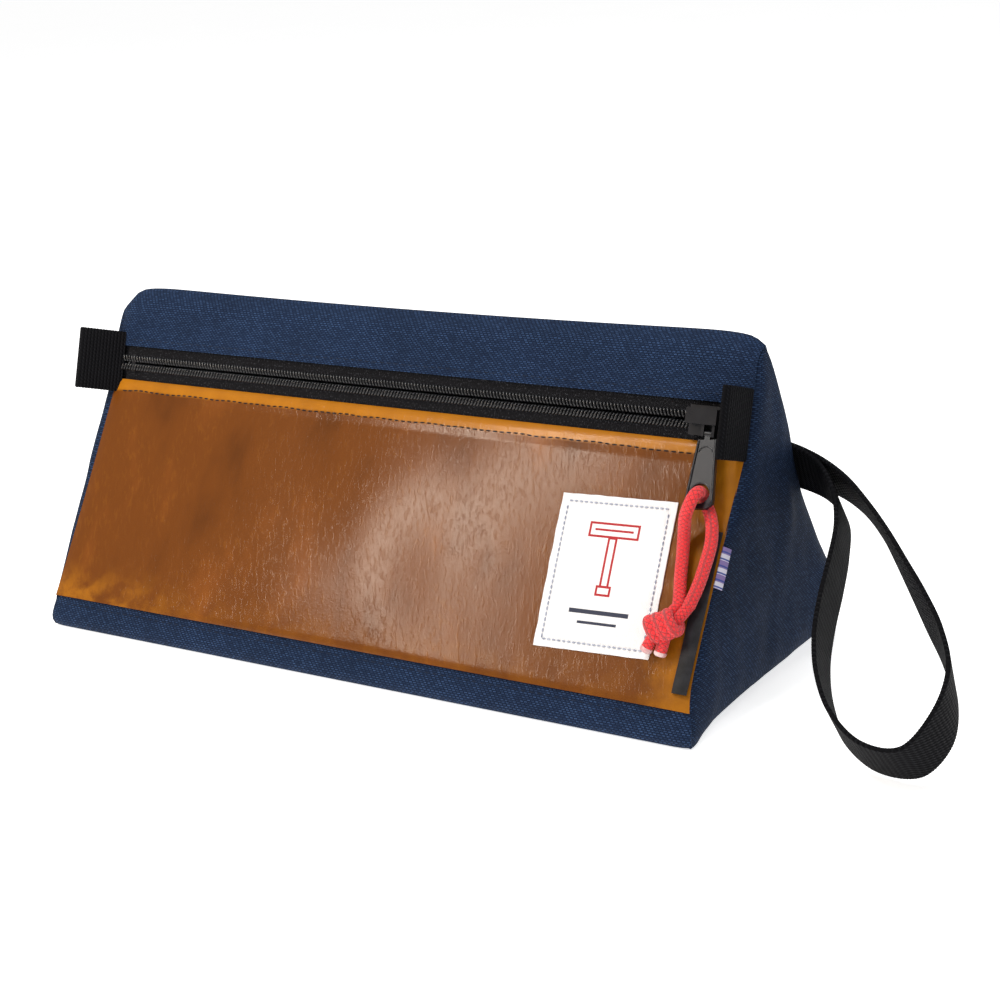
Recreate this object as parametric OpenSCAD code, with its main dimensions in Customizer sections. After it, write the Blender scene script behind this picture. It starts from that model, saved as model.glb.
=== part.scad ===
// Wedge-shaped shaving kit bag: cloth shell, leather front, one long zip, wrist strap.
// Millimetres. Origin: middle of the flat base. +X runs along the zip, +Y to the back, +Z up.

/* [Bag] */
// Length between the two end panels
bag_len = 254; // [230:1:280]
// Depth of the flat base
bag_depth = 118; // [110:1:130]
// Height of the fold along the top
bag_height = 112.5; // [108:0.5:118]
// Height of the cloth band below the leather
band_h = 11; // [8:0.5:14]
// How far the top of the band leans back from the base
band_lean = 1.5; // [0.5:0.5:3]

/* [Cloth and leather] */
// Thickness of the coated canvas
canvas_t = 1.2; // [0.9:0.1:1.4]
// Thickness of the leather
leather_t = 1.6; // [1.2:0.1:1.6]
// Depth of the lining's outer face below the bag's surface
lining_d = 1.9; // [1.8:0.1:2.4]
// Thickness of the lining
lining_t = 0.6; // [0.5:0.1:0.8]

/* [Zip] */
// Gap between leather and top panel in which the zip shows
zip_gap = 12.5; // [12:0.5:14]
// Thickness of each tape
tape_t = 0.6; // [0.5:0.1:0.7]
// Radius of one row of coil
coil_r = 1.3; // [1.1:0.1:1.4]
// Free slot between the two tapes
tape_slot = 1.2; // [1.2:0.1:1.4]
// Middle of the slider when the zip is shut
slider_x = 114.5; // [108:0.5:115]

/* [Pull and cord] */
// Length of the pull from its pivot to its rounded end
pull_len = 24.5; // [20:0.5:28]
// Width of the pull at its lower end
pull_w = 9.2; // [8:0.2:10]
// Thickness of the pull
pull_t = 1.4; // [1.2:0.1:1.6]
// Diameter of the braided cord
cord_d = 4; // [3:0.5:4]

/* [Webbing] */
// Width of the wrist strap
strap_w = 19; // [16:1:20]
// Thickness of the wrist strap
strap_t = 1.5; // [1.2:0.1:1.8]
// Lean of the strap's width away from upright
strap_lean = 34.5; // [33:0.5:35]
// Width of the two tabs at the ends of the zip
tab_w = 22.5; // [20:0.5:26]
// How far each tab stands out of its seam
tab_out = 15; // [12:0.5:18]

/* [Labels] */
// Width of the sewn front label
label_w = 40.5; // [34:0.5:44]
// Height of the sewn front label
label_h = 50; // [40:1:54]

/* [Hidden] */
$fn = 32;
thread_t = 0.5;      // thickness of a row of thread
skin_gap = 0.05;     // air under things that lie on a panel
tape_cover = 10;     // how far the tapes run under the panels
half_len = bag_len / 2;
shell_x = half_len - canvas_t;
lining_x = half_len - lining_d - lining_t - 0.2;

// Outline of the bag seen from its right end, as [y, z] corners in order around the section
base_back = [bag_depth / 2, 0];
base_front = [-bag_depth / 2, 0];
band_top = [-bag_depth / 2 + band_lean, band_h];
leather_top = [-12, bag_height - 30.5];
top_front = [-4, bag_height - 4.5];
top_ridge = [4, bag_height];
zip_up = unit(top_front - leather_top);
leather_up = unit(leather_top - band_top);
zip_mid = leather_top + zip_up * zip_gap / 2;
outline = [base_back, base_front, band_top, leather_top - leather_up * tape_cover, leather_top,
    zip_mid - zip_up * tape_slot / 2, zip_mid + zip_up * tape_slot / 2,
    leather_top + zip_up * zip_gap, leather_top + zip_up * (zip_gap + tape_cover),
    top_front, top_ridge];
leather_tilt = atan2(leather_up[1], leather_up[0]);
zip_tilt = atan2(zip_up[1], zip_up[0]);
leather_s = norm(leather_top - band_top);   // slope length of the leather

// Seam binding: a strip from the top ridge down the back, under the base and up to the zip
binding_t = 1.6;
binding_w = 4.5;
binding_d = lining_d + lining_t + 0.4;
binding_x = half_len - binding_d - binding_t / 2;

// Slider: heights are above the zip's surface
coil_top = coil_r * 2 - leather_t;
slider_len = 11;
slider_half_w = 4.7;
plate_t = 1.2;
top_plate_h = coil_top + 0.4;
cap_h = top_plate_h + plate_t;
pivot_s = -4.1;
pivot_h = cap_h + 1.55;
pivot_r = 0.6;
barrel_r = 1.2;
pivot = zip_mid + zip_up * pivot_s + [-zip_up[1], zip_up[0]] * pivot_h;
pull_side = 2.4;     // the pull hangs from the right half of the slider
pull_turn = 6.5;     // and its lower end points a little to the right
pull_lift = 4;       // the cord behind it holds it off the leather
eye_r = 3.2;
rim_r = 0.8;
rim_s = pull_len - rim_r;

// The bridge over the slider, which carries the pull's bar between two cheeks
cap_len = 10.4;
cap_low = -1.2;
cap_s = 4.9;
cap_inside = 3;      // height under its top wall
cap_wall = 1;
cheek_x = 2.2;       // from the pull's middle to the outside of a cheek
cheek_t = 0.9;
// The lock pin that drops through the slider's top plate
pin_x = -2.2;
pin_s = 1.6;
pin_r = 0.5;
pin_clear = 0.08;
// Rows of thread and other small sewn things
coil_left = 8;       // the coil stops this far short of the left end
coil_right = 6;      // and this far short of the right end
stop_w = 1.4;
stop_s = 6.8;
stop_h = 2;
leather_stitch_in = 4.5;
band_stitch_in = 2.6;
zip_stitch_out = 2.4;
row_end = 4;         // a row of thread stops this far short of an end
label_x = 70;
label_s = 12.5;      // up the leather to its lower edge
label_t = 0.6;
label_stitch_in = 2.2;
label_stitch_t = 0.3;
tag_w = 5;
tag_l = 51;
tag_t = 0.9;
flag_w = 5;
flag_l = 13;
flag_s = 39;
flag_t = 0.6;
// Stitched ends of the strap, folded flatter than the strap outside
anchor_w = 9;
anchor_t = 3;
anchor_in = 5;
anchor_turn = 8;
knot_turn = 28;
tip_clearance = 0.3; // between a tip and the hole for it in the knot

// Wrist strap: [along X, up its slanted plane] from the point where it leaves the seam
strap_root = [half_len + 0.6, 25, 68];
strap_route = [[1, -1], [12, -7], [22, -17], [28.5, -35], [31.5, -58], [37, -80], [50, -98.5],
    [63, -104.5], [73, -98], [76, -80], [66, -59], [51, -39.5], [36, -22], [19, -8], [3, 1]];

// Cord route: [x, up the leather, above the leather], from knot to knot through the pull's eye
cord_route = [[119.1, 31, 3.4], [118.6, 34, 3.1], [117.5, 40, 3.1], [116.5, 47, 3.1], [116.1, 53, 4.5],
    [116.7, 57.6, 7.8], [118.1, 61.4, 9.8], [118.8, 64.2, 9.5], [119.1, 66, 7.7], [119.2, 66.2, 5.6],
    [119.6, 65.4, 3.7], [120.9, 63, 3.1], [122.8, 60, 3.3], [124.3, 56, 3.4], [125, 51, 3.4],
    [124.7, 45, 3.4], [123.9, 38, 3.4], [122.4, 31.2, 3.5]];
knot_at = [116.7, 24, 6.1];
tip_from = [[114.1, 21.5, 4.7], [117.5, 20.5, 4.7]];
tip_to = [[111.3, 15.6, 3.1], [116.5, 15, 3.1]];

function unit(v) = v / norm(v);
function side(v) = [v[1], -v[0]];
// Corner i of a closed outline moved inwards by d, with a mitre
function corner(path, i, d) =
    let (n = len(path), p = path[i], a = side(unit(p - path[(i + n - 1) % n])),
        b = side(unit(path[(i + 1) % n] - p)), m = unit(a + b))
    p + m * d / (m * a);
function skin_outline(idx, d0, d1) = concat([for (i = idx) corner(outline, i, d0)],
    [for (k = [len(idx) - 1:-1:0]) corner(outline, idx[k], d1)]);
// A point on a smooth curve through the points of a route, between stops i and i + 1
function route_point(r, i, t) =
    let (n = len(r), p0 = r[max(i - 1, 0)], p1 = r[i], p2 = r[i + 1], p3 = r[min(i + 2, n - 1)])
    0.5 * (2 * p1 + (p2 - p0) * t + (2 * p0 - 5 * p1 + 4 * p2 - p3) * t * t
        + (3 * p1 - p0 - 3 * p2 + p3) * t * t * t);
function smooth_route(r, steps) = concat([for (i = [0:len(r) - 2], k = [0:steps - 1])
    route_point(r, i, k / steps)], [r[len(r) - 1]]);
function offset_route(r, d) = [for (i = [0:len(r) - 1])
    r[i] + side(unit(r[min(i + 1, len(r) - 1)] - r[max(i - 1, 0)])) * d];
function reversed(r) = [for (i = [len(r) - 1:-1:0]) r[i]];
// Leather coordinates to the bag's frame
function over_leather(p) = [p[0], band_top[0] + leather_up[0] * p[1] - leather_up[1] * p[2],
    band_top[1] + leather_up[1] * p[1] + leather_up[0] * p[2]];

module along_x(x0, x1) {
    translate([x0, 0, 0]) rotate([90, 0, 90]) linear_extrude(x1 - x0) children();
}
module skin(idx, d0, d1, half) {
    along_x(-half, half) polygon(skin_outline(idx, d0, d1));
}
module end_outline(d) {
    polygon([for (i = [0, 1, 2, 4, 9, 10]) corner(outline, i, d)]);
}
// Things laid on the leather: x, then up the slope, then out of it
module on_leather() {
    translate([0, band_top[0], band_top[1]]) rotate([leather_tilt, 0, 0]) children();
}
// The same on the zip's slope, from its middle line
module on_zip() {
    translate([0, zip_mid[0], zip_mid[1]]) rotate([zip_tilt, 0, 0]) children();
}
module on_pull() {
    translate([slider_x + pull_side, pivot[0], pivot[1]])
        rotate([leather_tilt - pull_lift, 0, 0]) children();
}
module on_strap() {
    translate(strap_root) rotate([strap_lean, 0, 0]) children();
}
module rod_x(r, x0, x1) {
    translate([x0, 0, 0]) rotate([0, 90, 0]) cylinder(r = r, h = x1 - x0);
}
// One straight row of thread along X
module thread_row(x0, x1) {
    translate([x0, -thread_t / 2, skin_gap]) cube([x1 - x0, thread_t, thread_t]);
}

module base_panel() {
    color("#1c2b47") skin([0, 1, 2], 0, canvas_t, shell_x);
}
module front_leather() {
    color("#8a5228") skin([2, 3, 4], 0, leather_t, shell_x);
}
module top_back_panel() {
    color("#1c2b47") skin([7, 8, 9, 10, 0], 0, canvas_t, shell_x);
}
module left_end_panel() {
    color("#1a2842") along_x(-half_len, -shell_x) end_outline(0);
}
module right_end_panel() {
    color("#1a2842") along_x(shell_x, half_len) end_outline(0);
}
module lining_base() {
    color("#5a6270") skin([0, 1, 2], lining_d, lining_d + lining_t, lining_x);
}
module lining_front() {
    color("#5a6270") skin([2, 3], lining_d, lining_d + lining_t, lining_x);
}
module lining_top_back() {
    color("#5a6270") skin([8, 9, 10, 0], lining_d, lining_d + lining_t, lining_x);
}
module end_lining() {
    along_x(half_len - lining_d - lining_t, half_len - lining_d) end_outline(lining_d + lining_t);
}
module lining_left() {
    color("#5a6270") mirror([1, 0, 0]) end_lining();
}
module lining_right() {
    color("#5a6270") end_lining();
}
// Bound seam allowance that stands in from the seam, from the ridge round to the zip
module seam_binding(x) {
    along_x(x - binding_t / 2, x + binding_t / 2)
        polygon(skin_outline([10, 0, 1, 2, 3], binding_d, binding_d + binding_w));
}
module seam_binding_left() {
    color("#202226") seam_binding(-binding_x);
}
module seam_binding_right() {
    color("#202226") seam_binding(binding_x);
}
module zip_tape_lower() {
    color("#17181a") skin([3, 4, 5], leather_t, leather_t + tape_t, lining_x - 3);
}
module zip_tape_upper() {
    color("#17181a") skin([6, 7, 8], leather_t, leather_t + tape_t, lining_x - 3);
}
module coil(way) {
    on_zip() translate([0, way * (tape_slot / 2 + coil_r), coil_r - leather_t])
        rod_x(coil_r, -half_len + coil_left, half_len - coil_right);
}
module zip_coil_lower() {
    color("#0e0e10") coil(-1);
}
module zip_coil_upper() {
    color("#0e0e10") coil(1);
}
// Stitched bars that close both ends of the coil
module zip_stops() {
    color("#0e0e10") on_zip() for (x = [coil_left - stop_w - 0.2 - half_len, half_len - coil_right + 0.4])
        translate([x, -stop_s / 2, -leather_t]) cube([stop_w, stop_s, stop_h]);
}
// A flat loop of webbing that stands out of a seam, leaning by lean from the zip's direction
module zip_tab(lean) {
    layer_t = 2;
    root = 0.6;
    rotate([0, -lean, 0]) {
        translate([root, -tab_w / 2, -layer_t / 2])
            cube([tab_out - root - layer_t / 2, tab_w, layer_t]);
        translate([tab_out - layer_t / 2, -tab_w / 2, 0])
            rotate([-90, 0, 0]) cylinder(d = layer_t, h = tab_w);
    }
}
module zip_tab_left() {
    color("#141416") on_zip() translate([-half_len, 0, 0]) zip_tab(135);
}
module zip_tab_right() {
    color("#141416") on_zip() translate([half_len, 0, 1.6]) zip_tab(97);
}
module label_blank(inset, t) {
    translate([label_x + inset, label_s + inset, skin_gap])
        cube([label_w - 2 * inset, label_h - 2 * inset, t]);
}
module front_label() {
    color("#f2f2f0") on_leather() label_blank(0, label_t);
}
module label_stitching() {
    color("#a9adb8") on_leather() translate([0, 0, label_t]) difference() {
        label_blank(label_stitch_in, label_stitch_t);
        translate([0, 0, -1]) label_blank(label_stitch_in + thread_t, 3);
    }
}
module leather_topstitch() {
    color("#17130f") on_leather() translate([0, leather_s - leather_stitch_in, 0])
        thread_row(-half_len + row_end, half_len - 3 * row_end);
}
module band_topstitch() {
    band_tilt = atan2(band_h, band_lean);
    color("#24365a") translate([0, base_front[0], 0]) rotate([band_tilt, 0, 0])
        translate([0, band_h - band_stitch_in, 0])
            thread_row(-half_len + row_end, half_len - row_end);
}
module zip_topstitch() {
    color("#24365a") on_zip() translate([0, zip_gap / 2 + zip_stitch_out, 0])
        thread_row(-half_len + row_end, half_len - 2 * row_end);
}
// Folded satin strip sewn into the right front seam
module side_tag() {
    color("#161618") on_leather() translate([half_len - tag_w - 0.4, 5, skin_gap])
        cube([tag_w, tag_l, tag_t]);
}
// Small striped woven tag in the same seam, folded on to the end panel
module side_flag() {
    color("#8f86b8") on_leather() translate([half_len + skin_gap, flag_s, -flag_w])
        cube([flag_t, flag_l, flag_w]);
}
// Stitched ends of the wrist strap inside the seam
module strap_anchor() {
    color("#141416") translate([half_len - anchor_in, strap_root[1], strap_root[2]])
        rotate([strap_lean - anchor_turn, 0, 0]) translate([-anchor_w, -anchor_w, -strap_w / 2])
            cube([anchor_w, anchor_t, strap_w]);
}
module slider_body() {
    wall_t = 0.95;
    lip = 0.4;           // the side walls stop this far above the tapes
    post_w = 0.6;
    post_len = 3;
    plate_gap = 0.35;    // between the tapes and the plate under them
    color("#101114") on_zip() translate([slider_x, 0, 0]) {
        difference() {
            translate([-slider_len / 2, -slider_half_w, -leather_t + lip])
                cube([slider_len, 2 * slider_half_w, cap_h + leather_t - lip]);
            translate([-slider_len, -slider_half_w + wall_t, -leather_t])
                cube([2 * slider_len, 2 * (slider_half_w - wall_t), top_plate_h + leather_t]);
            translate([pin_x, pin_s, 0]) cylinder(r = pin_r + pin_clear, h = 2 * cap_h + 4);
        }
        translate([1, -post_w / 2, -leather_t - tape_t - 0.6])
            cube([post_len, post_w, top_plate_h + 3.4]);
        translate([-slider_len / 2, -4, -leather_t - tape_t - plate_gap - 1])
            cube([slider_len, 8, 1]);
    }
}
// Box-like bridge over the slider, with the pivot bar along its lower edge
module slider_cap() {
    color("#101114") on_zip() translate([slider_x, 0, cap_h]) {
        for (x = [-cap_len / 2, cap_len / 2 - cap_wall]) {
            translate([x, cap_low, 0]) cube([cap_wall, cap_s, cap_inside]);
        }
        translate([-cap_len / 2, cap_low, cap_inside]) cube([cap_len, cap_s, 0.9]);
        translate([-cap_len / 2, cap_low + cap_s - 0.8, 0]) cube([cap_len, 0.8, cap_inside]);
        for (x = [pull_side - cheek_x, pull_side + cheek_x - cheek_t]) {
            translate([x, pivot_s - 0.8, 0]) cube([cheek_t, cap_low - pivot_s + 1.5, cap_inside]);
        }
        translate([0, pivot_s, pivot_h - cap_h])
            rod_x(pivot_r, pull_side - cheek_x, pull_side + cheek_x);
    }
}
module lock_pin() {
    color("#8d9096") on_zip() translate([slider_x + pin_x, pin_s, coil_top + 0.35]) {
        cylinder(r = pin_r, h = 2.9);
        translate([0, 0, 2.2]) cylinder(r = 1.1, h = 0.5);
    }
}
// Tapered pull with a barrel at the pivot and an eye for the cord
module pull_outline() {
    half_top = 3.1;
    half_low = pull_w / 2;
    polygon([[-half_top, -2], [half_top, -2], [half_low, -rim_s + 3], [half_low, -rim_s + 1],
        [half_low - 2, -pull_len], [2 - half_low, -pull_len], [-half_low, -rim_s + 1],
        [-half_low, -rim_s + 3]]);
}
module pull_tab() {
    color("#101114") on_pull() {
        difference() {
            union() {
                rod_x(barrel_r, -1.1, 1.1);
                translate([-0.9, -barrel_r - 1.2, -pull_t / 2]) cube([1.8, 2, pull_t]);
                rotate([0, 0, pull_turn]) translate([0, 0, -pull_t / 2]) linear_extrude(pull_t)
                    pull_outline();
            }
            rod_x(pivot_r + 0.08, -3, 3);
            rotate([0, 0, pull_turn]) translate([0, -rim_s + rim_r + eye_r, -3])
                cylinder(r = eye_r, h = 6);
        }
    }
}
// A round tube swept along points, with its rings square to the path
module tube(path, d, sides) {
    n = len(path);
    along = [for (i = [0:n - 1]) unit(path[min(i + 1, n - 1)] - path[max(i - 1, 0)])];
    rings = [for (i = [0:n - 1]) let (a = unit(cross(along[i], [1, 0, 0])),
        b = cross(along[i], a)) for (k = [0:sides - 1])
        path[i] + (a * cos(360 * k / sides) + b * sin(360 * k / sides)) * d / 2];
    walls = [for (i = [0:n - 2], k = [0:sides - 1], half = [0, 1]) let (m = (k + 1) % sides,
        low = i * sides, high = low + sides)
        half == 0 ? [low + k, low + m, high + m] : [low + k, high + m, high + k]];
    polyhedron(rings, concat(walls, [[for (k = [sides - 1:-1:0]) k]],
        [[for (k = [0:sides - 1]) (n - 1) * sides + k]]));
}
module pull_cord() {
    color("#d81f2c") tube([for (p = cord_route) over_leather(p)], cord_d, 8);
}
// A round bar from one point to another
module bar(a, b, d) {
    way = b - a;
    translate(a) rotate([0, acos(way[2] / norm(way)), atan2(way[1], way[0])])
        cylinder(d = d, h = norm(way));
}
module cord_knot() {
    bare_in = 0.06;      // the hole starts this part of a tip's length inside its start
    bare_out = 0.5;      // and runs this part of it past its end
    color("#d81f2c") difference() {
        translate(over_leather(knot_at)) rotate([leather_tilt, 0, 0])
            rotate([0, 0, knot_turn]) rotate([0, 90, 0]) rotate_extrude()
                polygon([[0, -8], [3.4, -7], [4.6, -4], [5, 0], [4.6, 4], [3.4, 7], [0, 8]]);
        for (i = [0, 1]) let (a = tip_from[i], b = tip_to[i])
            bar(over_leather(a - (b - a) * bare_in), over_leather(b + (b - a) * bare_out),
                cord_d + 2 * tip_clearance);
    }
}
module cord_tips() {
    color("#f0e4e0") for (i = [0, 1])
        bar(over_leather(tip_from[i]), over_leather(tip_to[i]), cord_d);
}
module wrist_strap() {
    route = smooth_route(strap_route, 3);
    color("#141416") on_strap() translate([0, 0, -strap_w / 2]) linear_extrude(strap_w)
        polygon(concat(offset_route(route, strap_t / 2), reversed(offset_route(route, -strap_t / 2))));
}

base_panel();
front_leather();
top_back_panel();
left_end_panel();
right_end_panel();
lining_base();
lining_front();
lining_top_back();
lining_left();
lining_right();
seam_binding_left();
seam_binding_right();
zip_tape_lower();
zip_tape_upper();
zip_coil_lower();
zip_coil_upper();
zip_stops();
zip_tab_left();
zip_tab_right();
front_label();
label_stitching();
leather_topstitch();
band_topstitch();
zip_topstitch();
side_tag();
side_flag();
strap_anchor();
slider_body();
slider_cap();
lock_pin();
pull_tab();
pull_cord();
cord_knot();
cord_tips();
wrist_strap();
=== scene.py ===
"""Shaving kit bag: builds the bag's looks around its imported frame, in metres.

Shape functions work in millimetres in the bag's frame and are turned to metres when a
piece is made. The zip runs along X, the leather is at the front (-Y) and the ground is z = 0.
"""
import math

import bpy
import numpy as np
from mathutils import Matrix, Vector, noise


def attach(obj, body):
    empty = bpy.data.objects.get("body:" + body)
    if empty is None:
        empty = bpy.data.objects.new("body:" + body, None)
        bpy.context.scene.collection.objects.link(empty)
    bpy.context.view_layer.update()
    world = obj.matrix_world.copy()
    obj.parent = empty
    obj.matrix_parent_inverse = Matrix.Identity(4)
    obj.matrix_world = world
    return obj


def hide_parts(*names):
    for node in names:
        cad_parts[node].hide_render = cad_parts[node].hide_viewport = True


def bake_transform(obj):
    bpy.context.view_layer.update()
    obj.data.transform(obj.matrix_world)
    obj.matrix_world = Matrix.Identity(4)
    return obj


bl_info = {
    "name": "Shaving kit bag",
    "version": (1, 0, 0),
    "blender": (4, 5, 0),
    "location": "3D View > Sidebar > Kit bag",
    "description": "Builds a wedge-shaped shaving kit bag piece by piece around its frame",
    "category": "Add Mesh",
}

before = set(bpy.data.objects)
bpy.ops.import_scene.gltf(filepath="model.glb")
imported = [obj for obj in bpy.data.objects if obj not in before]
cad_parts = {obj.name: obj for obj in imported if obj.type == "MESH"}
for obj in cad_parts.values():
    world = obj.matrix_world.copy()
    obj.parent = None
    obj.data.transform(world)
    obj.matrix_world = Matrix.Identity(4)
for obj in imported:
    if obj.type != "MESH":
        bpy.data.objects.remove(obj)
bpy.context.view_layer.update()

MM = 0.001
HALF = 127.0            # from the middle to an end seam
BASE_BACK, BASE_FRONT = (59.0, 0.0), (-59.0, 0.0)
BAND_TOP, LEATHER_TOP = (-57.5, 11.0), (-12.0, 82.0)
TOP_FRONT, TOP_RIDGE = (-4.0, 108.0), (4.0, 112.5)
LEATHER_S = math.dist(BAND_TOP, LEATHER_TOP)
LEATHER_UP = ((LEATHER_TOP[0] - BAND_TOP[0]) / LEATHER_S, (LEATHER_TOP[1] - BAND_TOP[1]) / LEATHER_S)
ZIP_GAP = 12.5
_zip_s = math.dist(LEATHER_TOP, TOP_FRONT)
ZIP_UP = ((TOP_FRONT[0] - LEATHER_TOP[0]) / _zip_s, (TOP_FRONT[1] - LEATHER_TOP[1]) / _zip_s)
ZIP_MID = (LEATHER_TOP[0] + ZIP_UP[0] * ZIP_GAP / 2, LEATHER_TOP[1] + ZIP_UP[1] * ZIP_GAP / 2)
ZIP_TOP = (LEATHER_TOP[0] + ZIP_UP[0] * ZIP_GAP, LEATHER_TOP[1] + ZIP_UP[1] * ZIP_GAP)
CANVAS_T, LEATHER_T, LINING_T = 1.2, 1.6, 0.5
HEM_STITCH_IN = 4.5     # from the leather's top edge to its row of stitches
CORD_R = 2.0
STRAP_HALF_W, STRAP_HALF_T = 9.6, 0.7
STRAP_WIDTH_WAY = (0, -0.46, 0.89)
TAB_HALF_W, TAB_HALF_T = 11.25, 0.62
LABEL_W, LABEL_H = 39.8, 50.0
LABEL_X, LABEL_S = 91.1, 37.9
LABEL_TURN = math.radians(2.2)
LABEL_STITCH_IN = 2.4
PULL_TURN = math.radians(6.5)
PULL_TILT = math.atan2(LEATHER_UP[1], LEATHER_UP[0]) - math.radians(4)


# ---------------------------------------------------------------- sizes and colours

class KitSizes(bpy.types.PropertyGroup):
    """Sizes of the soft pieces, over the frame's own sizes"""
    leather_swell: bpy.props.FloatProperty(name="Leather swell", default=0.0030, unit="LENGTH",
        description="How far the middle of the leather stands proud of flat")
    back_swell: bpy.props.FloatProperty(name="Back swell", default=0.0026, unit="LENGTH",
        description="How far the middle of the back stands proud of flat")
    end_swell: bpy.props.FloatProperty(name="End swell", default=0.0065, unit="LENGTH",
        description="How far each end panel bulges")
    coil_pitch: bpy.props.FloatProperty(name="Coil pitch", default=0.00125, unit="LENGTH",
        description="Distance from one turn of the zip's coil to the next")
    thread: bpy.props.FloatProperty(name="Thread", default=0.0006, unit="LENGTH",
        description="Thickness of the sewing thread")


def colour(name, value, about):
    return bpy.props.FloatVectorProperty(name=name, default=value, subtype="COLOR", size=3,
                                         min=0, max=1, description=about)


class KitColours(bpy.types.PropertyGroup):
    """Colours of the bag's finishes"""
    canvas: colour("Canvas", (0.0068, 0.0145, 0.037), "Ground of the coated canvas")
    fleck: colour("Fleck", (0.075, 0.15, 0.33), "Light threads that show in the canvas")
    leather: colour("Leather", (0.142, 0.041, 0.0045), "Middle tone of the waxed leather")
    leather_dark: colour("Dark leather", (0.068, 0.020, 0.0030), "Tone of the leather's creases")
    leather_edge: colour("Leather edge", (0.42, 0.155, 0.008), "Tone where the leather is folded")
    cord: colour("Cord", (0.95, 0.022, 0.028), "Braided cord")
    webbing: colour("Webbing", (0.0045, 0.0045, 0.0055), "Strap and tabs")


# ---------------------------------------------------------------- finishes

class Wire:
    """A shader socket that can be used in sums."""

    def __init__(self, finish, socket):
        self.finish, self.socket = finish, socket

    def _math(self, operation, *values):
        return self.finish.node("ShaderNodeMath", {"operation": operation}, dict(enumerate(values)))

    def __add__(self, other):
        return self._math("ADD", self, other)

    def __radd__(self, other):
        return self._math("ADD", other, self)

    def __sub__(self, other):
        return self._math("SUBTRACT", self, other)

    def __rsub__(self, other):
        return self._math("SUBTRACT", other, self)

    def __mul__(self, other):
        return self._math("MULTIPLY", self, other)

    def __rmul__(self, other):
        return self._math("MULTIPLY", other, self)

    def __truediv__(self, other):
        return self._math("DIVIDE", self, other)

    def __gt__(self, other):
        return self._math("GREATER_THAN", self, other)

    def __lt__(self, other):
        return self._math("LESS_THAN", self, other)

    def wave(self, pitch):
        return self._math("SINE", self * (2 * math.pi / pitch))

    def floor(self):
        return self._math("FLOOR", self)

    def part(self):
        return self._math("FRACT", self)

    def size(self):
        return self._math("ABSOLUTE", self)

    def at_least(self, other):
        return self._math("MAXIMUM", self, other)


class Finish:
    """A material built from nodes, with one method for any node."""

    def __init__(self, name, **constants):
        self.material = bpy.data.materials.new(name)
        self.material.use_nodes = True
        self.tree = self.material.node_tree
        self.shader = self.tree.nodes["Principled BSDF"]
        for socket, value in constants.items():
            self.shader.inputs[socket.replace("_", " ")].default_value = value
        self.count = 0

    def node(self, kind, settings, inputs, out=0):
        made = self.tree.nodes.new(kind)
        self.count += 1
        made.location = (-220 * (1 + self.count % 8), 260 - 150 * (self.count // 8))
        for key, value in settings.items():
            setattr(made, key, value)
        for key, value in inputs.items():
            self.feed(made.inputs[key], value)
        return Wire(self, made.outputs[out])

    def feed(self, socket, value):
        if isinstance(value, Wire):
            self.tree.links.new(value.socket, socket)
        elif socket.type == "RGBA":
            socket.default_value = (*value[:3], 1)
        else:
            socket.default_value = value

    def cloth(self):
        """The piece's own map, in millimetres: (vector, along, across)."""
        v = self.node("ShaderNodeUVMap", {"uv_map": "Cloth"}, {})
        return v, self.split(v, 0), self.split(v, 1)

    def solid(self):
        """Place in the bag's frame, in metres."""
        return self.node("ShaderNodeTexCoord", {}, {}, "Object")

    def split(self, vector, axis):
        return self.node("ShaderNodeSeparateXYZ", {}, {0: vector}, axis)

    def join(self, a, b, c=0.0):
        return self.node("ShaderNodeCombineXYZ", {}, {0: a, 1: b, 2: c})

    def noise(self, vector, scale, detail=3.0, rough=0.55):
        return self.node("ShaderNodeTexNoise", {"noise_dimensions": "3D"},
                         {"Vector": vector, "Scale": scale, "Detail": detail, "Roughness": rough})

    def chance(self, a, b):
        return self.node("ShaderNodeTexWhiteNoise", {"noise_dimensions": "2D"},
                         {"Vector": self.join(a, b)})

    def ease(self, value, low, high):
        return self.node("ShaderNodeMapRange", {"interpolation_type": "SMOOTHSTEP"},
                         {0: value, 1: low, 2: high, 3: 0.0, 4: 1.0})

    def mix(self, a, b, share):
        return self.node("ShaderNodeMix", {"data_type": "RGBA"}, {0: share, 6: a, 7: b}, 2)

    def bump(self, height, depth, strength=1.0):
        normal = self.node("ShaderNodeBump", {}, {"Height": height, "Distance": depth, "Strength": strength})
        self.feed(self.shader.inputs["Normal"], normal)

    def set(self, **wires):
        for socket, value in wires.items():
            self.feed(self.shader.inputs[socket.replace("_", " ")], value)
        return self.material


def canvas_finish(name, shade):
    # shade scales every colour of the canvas; below 1 it is painted shade
    c = bpy.context.scene.kit_colours
    f = Finish(name, Specular_IOR_Level=0.08)
    v, along, across = f.cloth()
    row = (across / 0.62).floor()
    step = along / 1.5 + row * 0.37
    weave = along.wave(0.62) * across.wave(0.62)
    dash = (step.part() < 0.66) * ((across / 0.62).part() < 0.52) * (f.chance(step.floor(), row) * 0.8 + 0.2)
    wear = f.noise(v, 0.035, 4.0)
    ground = f.mix([x * 0.62 * shade for x in c.canvas], [x * 1.5 * shade for x in c.canvas], wear)
    f.bump(weave * 0.5 + dash * 0.8 + f.noise(v, 0.25) * 0.6, 0.00022, 0.8)
    return f.set(Base_Color=f.mix(ground, [x * shade for x in c.fleck], dash * (0.24 + wear * 0.34)),
                 Roughness=0.66 - dash * 0.08 + wear * 0.1)


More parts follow.
